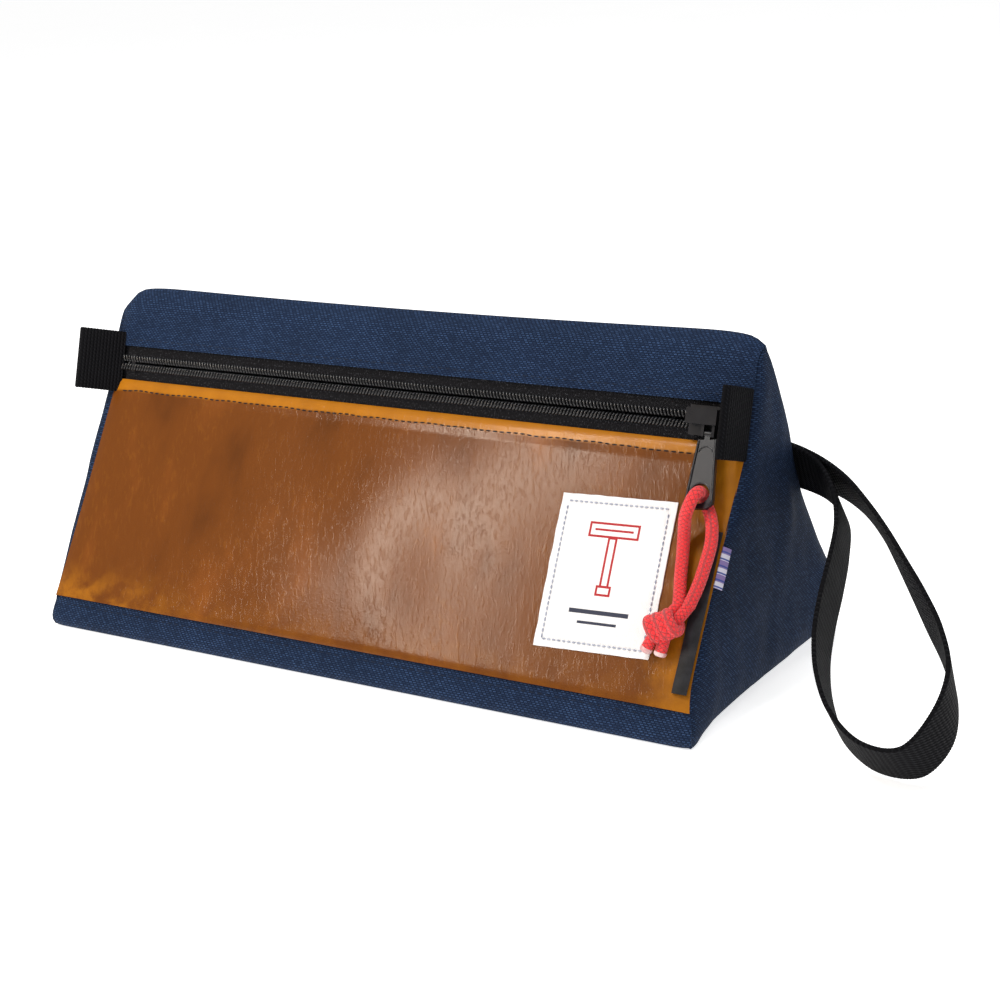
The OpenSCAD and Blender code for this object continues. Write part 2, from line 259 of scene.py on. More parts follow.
def leather_finish():
    c = bpy.context.scene.kit_colours
    f = Finish("Waxed leather", Specular_IOR_Level=0.26)
    v, along, up = f.cloth()
    tall = f.join(along * 1.0, up * 0.45)
    mottle = f.noise(tall, 0.040, 4.0, 0.5)
    streak = f.noise(f.join(along * 1.0, up * 0.28), 0.34, 4.0, 0.6)
    grain = f.noise(v, 1.3, 3.0, 0.6)
    folds = f.ease(f.noise(f.join(along * 1.0 + up * 0.25, up * 0.3), 0.75, 3.0, 0.65), 0.50, 0.66)
    tone = f.mix(c.leather_dark, c.leather, f.ease(mottle, 0.24, 0.50) * 0.7 + 0.3)
    tone = f.mix(tone, [x * 1.55 for x in c.leather], f.ease(mottle, 0.54, 0.74) * 0.75)
    tone = f.mix(tone, c.leather_edge, folds * f.ease(mottle, 0.44, 0.58) * 0.09)
    tone = f.mix(c.leather_dark, tone, streak * 0.25 + 0.80)
    worn = f.noise(v, 0.12, 4.0)
    hem = f.ease(up + worn * 1.2, LEATHER_S - 4.6, LEATHER_S - 3.2)
    right = f.ease(along + worn * 16.0, 116.0, 134.0) * 0.8
    fade = 0.62 - f.ease(along, -112.0, -55.0) * 0.5
    foot = (1.0 - f.ease(up, 0.0, 16.0)) * f.ease(worn, 0.36, 0.62) * fade
    edge = hem.at_least(right).at_least(foot) * (0.55 + worn * 0.6)
    f.bump(folds * 0.16 + grain * 0.14 + streak * 0.11 + mottle * 1.4, 0.0003, 0.42)
    return f.set(Base_Color=f.mix(tone, c.leather_edge, edge),
                 Roughness=0.15 + mottle * 0.09 + grain * 0.03)


def webbing_finish(name, rib):
    c = bpy.context.scene.kit_colours
    f = Finish(name, Specular_IOR_Level=0.05)
    v, along, across = f.cloth()
    ribs = along.wave(rib)
    twill = (along * 0.8 + across).wave(1.3)
    # high marks the raised ribs; the colour is lifted there as a painted highlight on the crests
    high = f.ease(ribs * 0.6 + twill * 0.5, 0.1, 1.0)
    f.bump(ribs * 0.7 + twill * 0.5, 0.00022, 0.9)
    return f.set(Base_Color=f.mix(c.webbing, (0.013, 0.0135, 0.016), high * (0.35 + f.noise(v, 0.2) * 0.5)),
                 Roughness=0.75 - high * 0.12)


def tape_finish():
    f = Finish("Zip tape", Specular_IOR_Level=0.1)
    v, along, across = f.cloth()
    bone = (along + across.wave(2.4) * 0.6).wave(0.8)
    speck = f.ease(f.noise(v, 1.6), 0.55, 0.68)
    f.bump(bone, 0.00015, 0.7)
    tone = f.mix((0.011, 0.011, 0.013), (0.085, 0.088, 0.10), speck * 0.6)
    return f.set(Base_Color=tone, Roughness=0.72 + bone * 0.04)


def cord_finish():
    c = bpy.context.scene.kit_colours
    f = Finish("Braided cord", Specular_IOR_Level=0.4, Sheen_Weight=0.25)
    _, along, around = f.cloth()
    one, two = along / 1.35 + around * 6.0, along / 1.35 - around * 6.0
    over = ((one.floor() + two.floor()) * 0.5).part() > 0.25
    gap = (one.part() - 0.5).size().at_least((two.part() - 0.5).size())
    strand = 1.0 - f.ease(gap, 0.36, 0.5)
    fibre = (one * over + two * (1.0 - over)).wave(0.25)
    f.bump(strand * 1.0 + fibre * 0.12 + over * 0.2, 0.0004, 0.9)
    # The gaps between strands are painted darker: painted shade in the grooves of the braid
    tone = f.mix([x * 0.55 for x in c.cord], c.cord, strand * 0.6 + 0.4)
    return f.set(Base_Color=tone, Roughness=0.58 + fibre * 0.05)


def label_finish():
    """White cloth with a plain safety razor and two plain bars."""
    f = Finish("Label cloth", Specular_IOR_Level=0.3)
    v, along, up = f.cloth()

    def block(a, b, c, d):
        return (along > a) * (along < b) * (up > c) * (up < d)

    def frame_of(a, b, c, d, w=0.75):
        return block(a, b, c, d) - block(a + w, b - w, c + w, d - w)

    head, slit = frame_of(11.5, 29, 36.5, 41.5), block(13.6, 26.9, 38.7, 39.4)
    handle, end = frame_of(18.6, 21.9, 20.5, 36.9), frame_of(17.6, 22.9, 17.8, 21.2)
    razor = head.at_least(handle).at_least(end).at_least(slit)
    bars = block(10, 30.5, 11.8, 13.2).at_least(block(13.5, 27, 8.6, 9.5))
    cloth = f.mix((0.78, 0.78, 0.78), (0.86, 0.86, 0.86), f.noise(v, 0.4))
    f.bump(along.wave(0.6) * up.wave(0.6) * 0.5 + f.noise(v, 0.12), 0.00015, 0.5)
    tone = f.mix(f.mix(cloth, (0.42, 0.02, 0.025), razor), (0.03, 0.035, 0.06), bars)
    return f.set(Base_Color=tone, Roughness=0.6 + razor * 0.05)


def stripe_finish():
    f = Finish("Striped tape", Specular_IOR_Level=0.35)
    v, along, up = f.cloth()
    pale, blue = (up.wave(4.4) > 0.1), (up.wave(2.2) > 0.75)
    tone = f.mix(f.mix((0.25, 0.18, 0.42), (0.72, 0.70, 0.80), pale), (0.05, 0.08, 0.32), blue)
    f.bump(along.wave(0.5) * up.wave(0.5), 0.0001, 0.6)
    return f.set(Base_Color=tone, Roughness=0.55 + f.noise(v, 0.5) * 0.1)


def solid_finish(name, dark, pale, scale, rough, depth=0.00004, metal=0.0, coat=0.0, level=0.5):
    """An even finish with slight wear, on place in the bag's frame."""
    f = Finish(name, Metallic=metal, Specular_IOR_Level=level, Coat_Weight=coat, Coat_Roughness=0.08)
    place = f.solid()
    fine = f.noise(place, scale)
    f.bump(fine, depth, 0.6)
    tone = f.mix(dark, pale, f.ease(f.noise(place, scale / 5), 0.3, 0.7))
    return f.set(Base_Color=tone, Roughness=rough + fine * 0.12)


def glowing_floor():
    """A pale studio floor that stays even to its far edge."""
    f = Finish("Floor", Emission_Strength=0.80)
    even = f.noise(f.solid(), 5.0)
    tone = f.mix((0.88, 0.88, 0.88), (0.90, 0.90, 0.90), even)
    return f.set(Base_Color=tone, Emission_Color=tone, Roughness=0.7 + even * 0.05)


def make_finishes():
    black = ((0.006, 0.006, 0.007), (0.014, 0.014, 0.016))
    return {
        "canvas": canvas_finish("Navy canvas", 1.0),
        # The end panels take the same canvas darkened to 0.78: painted shade for their shadowed side
        "canvas_end_painted_shade": canvas_finish("Navy canvas, ends, painted shade", 0.78),
        "leather": leather_finish(),
        "strap": webbing_finish("Strap webbing", 1.8),
        "tab": webbing_finish("Tab webbing", 1.2),
        "tape": tape_finish(),
        "cord": cord_finish(),
        "label": label_finish(),
        "stripe": stripe_finish(),
        "lining": solid_finish("Lining cloth", (0.22, 0.24, 0.27), (0.34, 0.36, 0.40), 900, 0.55),
        "binding": solid_finish("Binding tape", *black, 1500, 0.7, 0.0001, level=0.1),
        "coil": solid_finish("Nylon coil", *black, 400, 0.22, coat=0.35, level=0.4),
        "thread_black": solid_finish("Black thread", *black, 2500, 0.6, 0.0001, level=0.15),
        "thread_navy": solid_finish("Navy thread", (0.006, 0.011, 0.026), (0.012, 0.022, 0.05), 2500,
                                    0.6, 0.0001, level=0.15),
        "thread_grey": solid_finish("Grey thread", (0.28, 0.31, 0.40), (0.42, 0.45, 0.54), 2500, 0.6, 0.0001),
        "satin": solid_finish("Black satin", (0.011, 0.011, 0.012), (0.020, 0.020, 0.023), 1200,
                              0.42, 0.00006, level=0.15),
        "enamel": solid_finish("Black enamel", (0.006, 0.006, 0.008), (0.014, 0.014, 0.017), 300,
                               0.24, 0.00002, coat=0.15, level=0.35),
        "steel": solid_finish("Bare steel", (0.42, 0.42, 0.44), (0.56, 0.56, 0.58), 1500,
                              0.30, 0.00002, metal=1.0),
        "tips": solid_finish("Melted tips", (0.62, 0.30, 0.30), (0.88, 0.80, 0.78), 900, 0.35, 0.0002),
        "floor": glowing_floor(),
    }


FINISHES = {}


def finish_of(key):
    if not FINISHES:
        FINISHES.update(make_finishes())
    return FINISHES[key]


# ---------------------------------------------------------------- shape helpers

def on_slope(foot, up, x, s, h):
    """A point s up a slope and h out from it, at x."""
    return np.array([x, foot[0] + up[0] * s - up[1] * h, foot[1] + up[1] * s + up[0] * h])


def leather_swell(x, s):
    """How far the leather stands out of its plane at x, s; the pull's cord presses a dent into it."""
    rise = math.sin(math.pi * min(max(s / LEATHER_S, 0), 1))
    sides = 1 - min(abs(x) / HALF, 1) ** 8
    proud = bpy.context.scene.kit_sizes.leather_swell / MM
    broad = proud * math.exp(-((x + 25) / 70) ** 2)
    fold = 1.0 * noise.noise(Vector((x / 38 + s / 300, s / 85, 3.1))) * math.exp(-((x + 20) / 92) ** 4)
    pressed = 0.7 * math.exp(-((x - 120) / 7) ** 2 - ((s - 62) / 8) ** 2)
    return rise * sides * (broad + fold) - pressed


def leather(x, s, h=0.0):
    return on_slope(BAND_TOP, LEATHER_UP, x, s, h + leather_swell(x, s))


def zip_plane(x, s, h=0.0):
    return on_slope(ZIP_MID, ZIP_UP, x, s, h)


def rounded(corners, radii, step=1.4):
    """Points along a path whose corners are rounded, about a step apart."""
    path = [np.array(corners[0], float)]
    for i in range(1, len(corners) - 1):
        p, q, r = (np.array(corners[j], float) for j in (i - 1, i, i + 1))
        a, b = (p - q) / np.linalg.norm(p - q), (r - q) / np.linalg.norm(r - q)
        cut = radii[i - 1]
        for t in np.linspace(0, 1, 7):
            path.append(q + a * cut * (1 - t) ** 2 + b * cut * t ** 2)
    path.append(np.array(corners[-1], float))
    path = np.array(path)
    length = np.r_[0, np.cumsum(np.linalg.norm(np.diff(path, axis=0), axis=1))]
    marks = np.linspace(0, length[-1], max(2, int(length[-1] / step)))
    return np.c_[np.interp(marks, length, path[:, 0]), np.interp(marks, length, path[:, 1])], marks


def smooth_line(points, steps):
    """More points on a smooth curve through the given ones."""
    p = np.array(points, float)
    ends = np.vstack([2 * p[0] - p[1], p, 2 * p[-1] - p[-2]])
    out = []
    for i in range(len(p) - 1):
        a, b, c, d = ends[i:i + 4]
        for t in np.arange(steps) / steps:
            out.append(0.5 * (2 * b + (c - a) * t + (2 * a - 5 * b + 4 * c - d) * t * t
                              + (3 * b - a - 3 * c + d) * t ** 3))
    return np.array(out + [p[-1]])


def piece(name, points, faces, marks, finish, body, nodes=(), slot=None, angle=40, thick=0.0):
    """A finished piece from points in millimetres, with its own map.

    It rides on its body, when it is given one.
    """
    mesh = bpy.data.meshes.new(name)
    corners = [tuple(float(x) * MM for x in p) for p in points]
    mesh.from_pydata(corners, [], [tuple(map(int, f)) for f in faces])
    if marks is not None:
        layer = mesh.uv_layers.new(name="Cloth")
        for loop in mesh.loops:
            layer.data[loop.index].uv = marks[loop.vertex_index]
    mesh.update()
    made = bpy.data.objects.new(name, mesh)
    bpy.context.scene.collection.objects.link(made)
    made.data.materials.append(finish_of(finish))
    bpy.ops.object.select_all(action="DESELECT")
    made.select_set(True)
    bpy.context.view_layer.objects.active = made
    if thick:
        wall = made.modifiers.new("Wall", "SOLIDIFY")
        wall.thickness, wall.offset = thick * MM, -1
        bpy.ops.object.modifier_apply(modifier=wall.name)
    bpy.ops.object.shade_smooth_by_angle(angle=math.radians(angle))
    if body:
        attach(made, body)
    if nodes:
        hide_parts(*nodes)
    return made


def sheet_piece(name, place, columns, rows, finish, nodes, slot, thick, body="bag"):
    """A panel from place(i, j) -> (point, mark), with a wall of its thickness inwards."""
    points, marks = [], []
    for j in range(rows + 1):
        for i in range(columns + 1):
            p, m = place(i / columns, j / rows)
            points.append(p)
            marks.append(m)
    wide = columns + 1
    faces = [(j * wide + i, j * wide + i + 1, (j + 1) * wide + i + 1, (j + 1) * wide + i)
             for j in range(rows) for i in range(columns)]
    return piece(name, points, faces, marks, finish, body, nodes, slot, thick=thick)


def swept(path, sides, sections):
    """Points, faces and marks of a closed tube: sections[i] is its ring round path[i]."""
    path = np.array(path, float)
    along = np.r_[0, np.cumsum(np.linalg.norm(np.diff(path, axis=0), axis=1))]
    points = [q for ring in sections for q in ring]
    marks = [(along[i], k / sides) for i in range(len(path)) for k in range(sides)]
    faces = []
    for low in range(0, (len(path) - 1) * sides, sides):
        for k in range(sides):
            m = (k + 1) % sides
            faces.append((low + k, low + m, low + sides + m, low + sides + k))
    faces.append(tuple(range(sides - 1, -1, -1)))
    faces.append(tuple((len(path) - 1) * sides + k for k in range(sides)))
    return points, faces, marks


def directions(path):
    path = np.array(path, float)
    t = np.gradient(path, axis=0)
    return t / np.linalg.norm(t, axis=1)[:, None]


def tube(path, radius, sides=12):
    """A round tube whose rings don't twist."""
    t = directions(path)
    a = np.cross(t[0], [0.3, 0.2, 1.0])
    rings = []
    for i, q in enumerate(np.array(path, float)):
        a = a - t[i] * (a @ t[i])
        a /= np.linalg.norm(a)
        b = np.cross(t[i], a)
        r = radius[i] if hasattr(radius, "__len__") else radius
        rings.append([q + r * (a * math.cos(w) + b * math.sin(w))
                      for w in np.arange(sides) * 2 * math.pi / sides])
    return swept(path, sides, rings)


def band(path, wide, half_w, half_t, ragged=0.0):
    """Flat webbing along a path; wide gives the direction of its width at each point."""
    t = directions(path)
    shape = [(-1, -.5), (-.97, -1), (-.5, -1), (0, -1), (.5, -1), (.97, -1), (1, -.5),
             (1, .5), (.97, 1), (.5, 1), (0, 1), (-.5, 1), (-.97, 1), (-1, .5)]
    rings = []
    for i, q in enumerate(np.array(path, float)):
        w = np.array(wide[i], float) - t[i] * (np.array(wide[i]) @ t[i])
        w /= np.linalg.norm(w)
        n = np.cross(w, t[i])
        jag = half_w + (ragged if i % 2 else -ragged)
        rings.append([q + w * a * jag + n * b * half_t for a, b in shape])
    points, faces, marks = swept(path, len(shape), rings)
    marks = [(m[0], shape[k % len(shape)][0] * half_w) for k, m in enumerate(marks)]
    return points, faces, marks


def merged(parts):
    """Several shapes as one."""
    points, faces, marks = [], [], []
    for p, f, m in parts:
        base = len(points)
        points += list(p)
        marks += list(m)
        faces += [tuple(k + base for k in face) for face in f]
    return points, faces, marks


def stitches(line, pitch, length, radius, out, sink=0.35, wander=0.0):
    """A row of sewn stitches on line(distance) -> point; out is the way off the cloth."""
    total, at = line
    rows = []
    for n in range(int(total / pitch)):
        start = n * pitch + (pitch - length) / 2
        path = []
        for k in range(5):
            d = start + length * k / 4
            arch = radius * (math.sin(math.pi * k / 4) - sink)
            sway = wander * noise.noise(Vector((d / 9, radius, 1.7)))
            path.append(np.array(at(d, sway)) + np.array(out) * arch)
        rows.append(tube(path, [radius * r for r in (0.45, 0.9, 1, 0.9, 0.45)], 6))
    return merged(rows)


# ---------------------------------------------------------------- camera, light and floor

class KIT_OT_stage(bpy.types.Operator):
    """Make the camera, the soft lights and the pale floor"""
    bl_idname = "kit.stage"
    bl_label = "Stage"

    def execute(self, context):
        yaw, pitch, roll = math.radians(31.58), math.radians(17.31), math.radians(-2.8)
        ahead = Vector((-math.sin(yaw) * math.cos(pitch), math.cos(yaw) * math.cos(pitch), -math.sin(pitch)))
        right = Vector((math.cos(yaw), math.sin(yaw), 0))
        up = right.cross(ahead)
        r2 = math.cos(roll) * right + math.sin(roll) * up
        u2 = -math.sin(roll) * right + math.cos(roll) * up
        data = bpy.data.cameras.new("Camera")
        data.lens, data.sensor_width = 67.36, 36
        data.clip_start, data.clip_end = 0.01, 20
        camera = bpy.data.objects.new("Camera", data)
        context.scene.collection.objects.link(camera)
        turned = Matrix((r2, u2, -ahead)).transposed().to_4x4()
        turned.translation = Vector((0.352, -0.5225, 0.2405))
        camera.matrix_world = turned
        context.scene.camera = camera
        for name, place, wide, tall, power in (("Key", (-0.35, -0.75, 1.75), 0.5, 0.5, 17.0),
                                               ("Gloss strip", (-0.2075, -0.348, 0.3435), 0.035, 0.30, 1.15),
                                               ("Fill", (1.2, -0.4, 0.6), 0.7, 0.7, 2.2),
                                               ("Top", (0.1, 0.35, 1.3), 0.9, 0.9, 6.5)):
            light = bpy.data.lights.new(name, "AREA")
            light.shape = "RECTANGLE"
            light.color = (1.0, 0.86, 0.72) if name == "Gloss strip" else (1.0, 1.0, 1.0)
            light.energy, light.size, light.size_y = power, wide, tall
            lamp = bpy.data.objects.new(name, light)
            lamp.location = place
            aim = Vector((0.03, -0.035, 0.046)) - Vector(place)
            lamp.rotation_euler = aim.to_track_quat("-Z", "Y").to_euler()
            context.scene.collection.objects.link(lamp)
        world = bpy.data.worlds.new("Studio")
        world.use_nodes = True
        world.node_tree.nodes["Background"].inputs[0].default_value = (1, 1, 1, 1)
        world.node_tree.nodes["Background"].inputs[1].default_value = 0.30
        context.scene.world = world
        context.scene.view_settings.view_transform = "Standard"
        bpy.ops.object.select_all(action="DESELECT")
        bpy.ops.mesh.primitive_plane_add(size=60, location=(0, 0, -0.0004))
        floor = context.object
        floor.name = "Floor"
        floor.data.materials.append(finish_of("floor"))
        return {"FINISHED"}


# ---------------------------------------------------------------- cord

# From the knot through the pull's eye and back to the knot: x, up the leather, above the leather
CORD_ROUTE = [(119.1, 31, 3.4), (118.6, 34, 3.1), (117.5, 40, 3.1), (116.5, 47, 3.1), (116.1, 53, 4.5),
              (116.7, 57.6, 7.8), (118.1, 61.4, 9.8), (118.8, 64.2, 9.5), (119.1, 66, 7.7),
              (119.2, 66.2, 5.6), (119.6, 65.4, 3.7), (120.9, 63, 3.1), (122.8, 60, 3.3),
              (124.3, 56, 3.4), (125, 51, 3.4), (124.7, 45, 3.4), (123.9, 38, 3.4), (122.4, 31.2, 3.5)]


def flat_leather(x, s, h):
    """A point over the leather as if it were flat."""
    return on_slope(BAND_TOP, LEATHER_UP, x, s, h)


class KIT_OT_cord(bpy.types.Operator):
    """Make the pull's braided cord, its knot and its melted tips"""
    bl_idname = "kit.cord"
    bl_label = "Pull cord"

    def execute(self, context):
        route = smooth_line([flat_leather(*p) for p in CORD_ROUTE], 4)
        cord = piece("cord_loop", *tube(route, CORD_R, 16), "cord", "cord", ["pull_cord"], "red_cord", 60)
        lean = math.radians(28)
        wraps = []
        for k in (-1, 1):
            line = []
            for t in np.linspace(0, 1, 46):
                w = 2 * math.pi * (1.65 * t) + (0.6 if k > 0 else 0)
                a = k * 1.9 + 4.0 * (t - 0.5)
                b, h = 2.9 * math.cos(w), 2.7 * math.sin(w)
                line.append(flat_leather(116.7 + a * math.cos(lean) - b * math.sin(lean),
                                         24 + a * math.sin(lean) + b * math.cos(lean), 5.7 + h))
            wraps.append(tube(line, 1.95, 14))
        for (a, b) in (((119.15, 31.4, 3.4), (114.1, 21.5, 4.7)), ((122.45, 31.4, 3.5), (117.5, 20.5, 4.7))):
            mid = tuple((p + q) / 2 + d for p, q, d in zip(a, b, (0, 0, 0.5)))
            wraps.append(tube(smooth_line([flat_leather(*q) for q in (a, mid, b)], 6), 1.9, 12))
        ends = [((114.1, 21.5, 4.7), (111.3, 15.6, 3.1)), ((117.5, 20.5, 4.7), (116.5, 15.0, 3.1))]

        def between(a, b, shares):
            return [flat_leather(*(np.array(a) * (1 - t) + np.array(b) * t)) for t in shares]

        for a, b in ends:
            wraps.append(tube(between(a, b, (0, 0.3, 0.55, 0.78)), 1.9, 14))
        knot = piece("cord_knot_wraps", *merged(wraps), "cord", "cord", ["cord_knot"], "red_cord", 60)
        tips = []
        for a, b in ends:
            tips.append(tube(between(a, b, (0.74, 0.84, 0.93, 0.985, 1.0)),
                             [1.95, 2.05, 1.9, 1.5, 0.5], 14))
        melted = piece("cord_tips_melted", *merged(tips), "tips", "cord", ["cord_tips"], "melted_core", 60)
        return {"FINISHED"}


# ---------------------------------------------------------------- shell

def tuck(x):
    """How far a panel dips towards its end seam."""
    near = max(0.0, (abs(x) - (HALF - 5)) / 5)
    return -0.55 * near * near


def widen(way, y, z):
    """How much further out the ends stand: most low down at the back, where the bag sags."""
    low_back = 7.0 * math.exp(-((min(y, 56) - 56) / 36) ** 2 - ((z - 12) / 32) ** 2) * min(1.0, 0.4 + z / 18)
    low_front = (3.2 if way > 0 else 0.4) * math.exp(-((y + 59) / 14) ** 2 - ((z - 3) / 9) ** 2)
    return low_back + low_front + 1.1 * math.exp(-((z - 92) / 32) ** 2)


def raised(x, y, z):
    """Height of a point once the base's two back corners lift off the ground a little."""
    lift = 3.0 * math.exp(-((abs(x) - 131) / 18) ** 2 - ((y - 59) / 26) ** 2)
    return max(z, 0.15) + lift * max(0.0, 1 - z / 16)


def ways_out(path):
    """The way off the panel at each point of its path."""
    step = np.gradient(path, axis=0)
    step /= np.linalg.norm(step, axis=1)[:, None]
    return np.c_[-step[:, 1], step[:, 0]]


def panel(name, path, marks, swell, finish, nodes, slot, thick, half=HALF, inset=0.0, columns=110):
    """A panel that follows a path across the bag's section; swell(x, t) pushes it out."""
    out = ways_out(path)

    def place(a, b):
        k = int(round(b * (len(path) - 1)))
        x = -half + 2 * half * a
        h = swell(x, b) - inset + (tuck(x) if not inset else 0)
        y, z = path[k] + out[k] * h
        if inset:
            return (x, y, max(z, 0.15)), (x, marks[k])
        x += widen(math.copysign(1, x), y, z) * (x / half) ** 9
        return (x, y, raised(x, y, z)), (x, marks[k])

    return sheet_piece(name, place, columns, len(path) - 1, finish, nodes, slot, thick)


def ridge_tuck(x, t):
    """The top and back round off more towards their ends, where they are pulled into the seam."""
    near = max(0.0, (abs(x) - (HALF - 6)) / 6)
    return -0.8 * near ** 2.2 * math.sin(math.pi * min(0.5, t * 3))


def base_swell(x, t):
    """The band under the leather leans out over the foot and dips where the leather meets it."""
    return 2.0 * math.exp(-((t - 0.935) / 0.036) ** 2) - 0.9 * max(0, (t - 0.97) / 0.03)


def back_swell(x, t):
    """How far the top and back panel stands out of its plane, with the ridge along its fold."""
    proud = bpy.context.scene.kit_sizes.back_swell / MM
    low = math.sin(math.pi * min(max((t - 0.2) / 0.8, 0), 1))
    ridge = (1.5 + 1.6 * (x / HALF) ** 2) * math.exp(-((t - 0.13) / 0.07) ** 2)
    wave = 1.6 * noise.noise(Vector((x / 45, t * 4, 9.0)))
    return (1 - (abs(x) / HALF) ** 20) * (low * (proud + wave) + ridge)


TOP_PATH, TOP_MARKS = rounded([ZIP_TOP, TOP_FRONT, TOP_RIDGE, BASE_BACK], [2.2, 2.6])
_dips = [tuck(HALF) + ridge_tuck(HALF, t) - 0.35 for t in np.linspace(0, 1, len(TOP_PATH))]
SEAM_LINE = TOP_PATH + ways_out(TOP_PATH) * np.array(_dips)[:, None]
SEAM_PEAK = int(SEAM_LINE[:, 1].argmax())
END_TOP = SEAM_LINE[SEAM_PEAK, 1] - 0.5
FRONT_EDGE = [BASE_FRONT, BAND_TOP, LEATHER_TOP, ZIP_TOP]


def end_edges(z):
    """Where an end panel's front and back edges are at height z."""
    if z < ZIP_TOP[1]:
        flat = np.interp(z, [p[1] for p in FRONT_EDGE], [p[0] for p in FRONT_EDGE])
        front = 0.7 - 1.6 * math.exp(-((z - 3.5) / 4.0) ** 2) + flat
    else:
        front = np.interp(z, SEAM_LINE[:SEAM_PEAK + 1, 1], SEAM_LINE[:SEAM_PEAK + 1, 0])
    back = np.interp(z, SEAM_LINE[SEAM_PEAK:, 1][::-1], SEAM_LINE[SEAM_PEAK:, 0][::-1])
    return front, back


def end_point(way, a, b, h=0.0):
    """A point on an end panel: a from its front edge to its back, b from the base to the top."""
    z = b * END_TOP
    front, back = end_edges(z)
    y = front + (back - front) * a
    a, b = min(max(a, 0), 1), min(max(b, 0), 1)
    round_off = (1 - abs(2 * a - 1) ** 5) ** 0.55 * (1 - abs(2 * min(b, 0.999) - 1) ** 9) ** 0.8
    full = 0.45 + 0.55 * math.exp(-((a - 0.75) / 0.45) ** 2 - ((b - 0.14) / 0.42) ** 2)
    if way < 0:
        full += 0.8 * math.exp(-((a - 0.05) / 0.3) ** 2 - ((b - 0.5) / 0.4) ** 2)
    crease = noise.noise(Vector((y / 17 + z / 60, z / 26, 5.0 + way)))
    crease += 0.5 * noise.noise(Vector((y / 8, z / 19, 2.0 + way)))
    proud = bpy.context.scene.kit_sizes.end_swell / MM
    x = HALF - 0.25 + widen(way, y, z) + round_off * (proud * full + 1.5 * crease) + h
    return np.array([way * x, y, raised(x, y, z)])


class KIT_OT_shell(bpy.types.Operator):
    """Make the canvas base, the leather front, the top and back and the two ends"""
    bl_idname = "kit.shell"
    bl_label = "Shell"

    def execute(self, context):
        path, marks = rounded([BASE_BACK, BASE_FRONT, BAND_TOP], [4])
        panel("shell_base", path, marks, base_swell, "canvas", ["base_panel"], "navy_canvas", CANVAS_T)
        rows = np.linspace(0, LEATHER_S, 64)
        hem_s = [0, 1.5, LEATHER_S - 6.2, LEATHER_S - 5.6, LEATHER_S - 1, LEATHER_S]
        hem = np.interp(rows, hem_s, [0.1, 0.5, 0.0, 0.5, 0.6, -0.3])
        bend = [on_slope(BAND_TOP, LEATHER_UP, 0, s, 0)[1:] for s in rows]

        def leather_out(x, t):
            folded = float(np.interp(t * LEATHER_S, rows, hem)) * (1 - (abs(x) / HALF) ** 20)
            return leather_swell(x, t * LEATHER_S) + folded

        panel("shell_leather", np.array(bend), rows, leather_out, "leather", ["front_leather"],
              "brown_leather", LEATHER_T, columns=150)
        panel("shell_top_back", TOP_PATH, TOP_MARKS, lambda x, t: back_swell(x, t) + ridge_tuck(x, t),
              "canvas", ["top_back_panel"], "navy_canvas", CANVAS_T)
        for way, side in ((-1, "left"), (1, "right")):
            def place(a, b, way=way):
                a = 1 - a if way < 0 else a
                p = end_point(way, a, b)
                return (p[0], p[1], max(p[2], 0.2)), (p[1], p[2])
            # The ends use the canvas darkened as painted shade
            sheet_piece(f"shell_end_{side}", place, 60, 60, "canvas_end_painted_shade", [f"{side}_end_panel"],
                        "navy_canvas", CANVAS_T)
        return {"FINISHED"}


class KIT_OT_inside(bpy.types.Operator):
    """Make the lining and the bound seam allowances inside"""
    bl_idname = "kit.inside"
    bl_label = "Lining and binding"

    def execute(self, context):
        deep, lining_half = 2.0, 123.5
        back_corners = [(-7.9, 95.4), (-4.2, 106.6), (3.5, 110.4), (54.2, 7.0)]
        for node, corners, radii in (("lining_base", [(54.0, 0.6), (-56.0, 0.6), (-54.6, 10.4)], [4]),
                                     ("lining_front", [(-56.0, 13.3), (-13.3, 79.9)], []),
                                     ("lining_top_back", back_corners, [3.5, 3.5])):
            path, marks = rounded(corners, radii, 3)
            panel(f"{node}_cloth", path, marks, lambda x, t: 0.0, "lining", [node], "lining_cloth",
                  LINING_T, lining_half, deep, 30)
        for way, side in ((-1, "left"), (1, "right")):
            def place(a, b, way=way):
                a = 1 - a if way < 0 else a
                p = end_point(way, 0.06 + 0.88 * a, 0.03 + 0.9 * b)
                return (way * 124.4, p[1], p[2]), (p[1], p[2])
            sheet_piece(f"lining_{side}_cloth", place, 16, 20, "lining", [f"lining_{side}"],
                        "lining_cloth", LINING_T)
            round_end = [(3.0, 100), (54.0, 3.4), (-54.0, 3.4), (-53.0, 10.0), (-12.0, 74.0)]
            line, _ = rounded(round_end, [3, 3, 3], 2)
            strip = [np.array([way * 123.2, y, z]) for y, z in line]
            inwards = [np.cross(d, (1, 0, 0)) for d in directions(strip)]
            piece(f"seam_binding_{side}_tape", *band(strip, inwards, 2.1, 0.7), "binding", "bag",
                  [f"seam_binding_{side}"], "binding_tape")
        return {"FINISHED"}


# ---------------------------------------------------------------- zip

